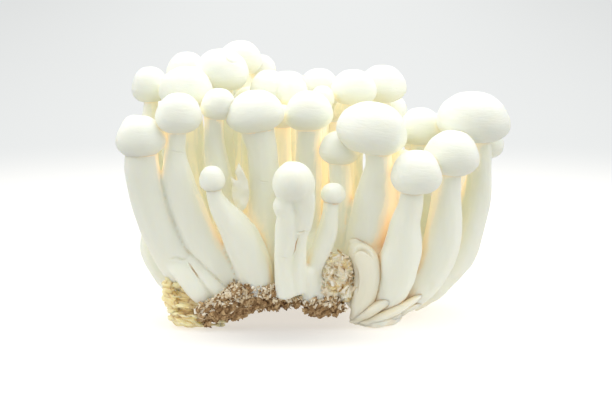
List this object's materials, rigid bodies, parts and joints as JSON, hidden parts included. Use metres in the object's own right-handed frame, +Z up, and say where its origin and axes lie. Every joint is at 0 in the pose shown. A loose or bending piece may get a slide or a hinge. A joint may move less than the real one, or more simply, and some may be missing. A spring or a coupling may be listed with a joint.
{
  "type": "white shimeji mushroom clump",
  "caption": "Clump of white button-capped mushrooms on long bulging stems, grown together at a trimmed foot with a crust of brown sawdust under an arch.",
  "frame": {"origin": "on the surface that the clump stands on, under the middle of its bounding box", "axes": "+Z up along the stems, +X to the right of the picture, -Y to the front that the picture shows"},
  "size_m": [0.1217, 0.0853, 0.084],
  "materials": {
    "mushroom_flesh": "smooth and satin, faintly translucent",
    "sawdust": "rough and crumbly"
  },
  "bodies": {
    "root": {"mushroom_clump": "mushroom_flesh", "sawdust_crust": "sawdust"}
  },
  "joints": []
}
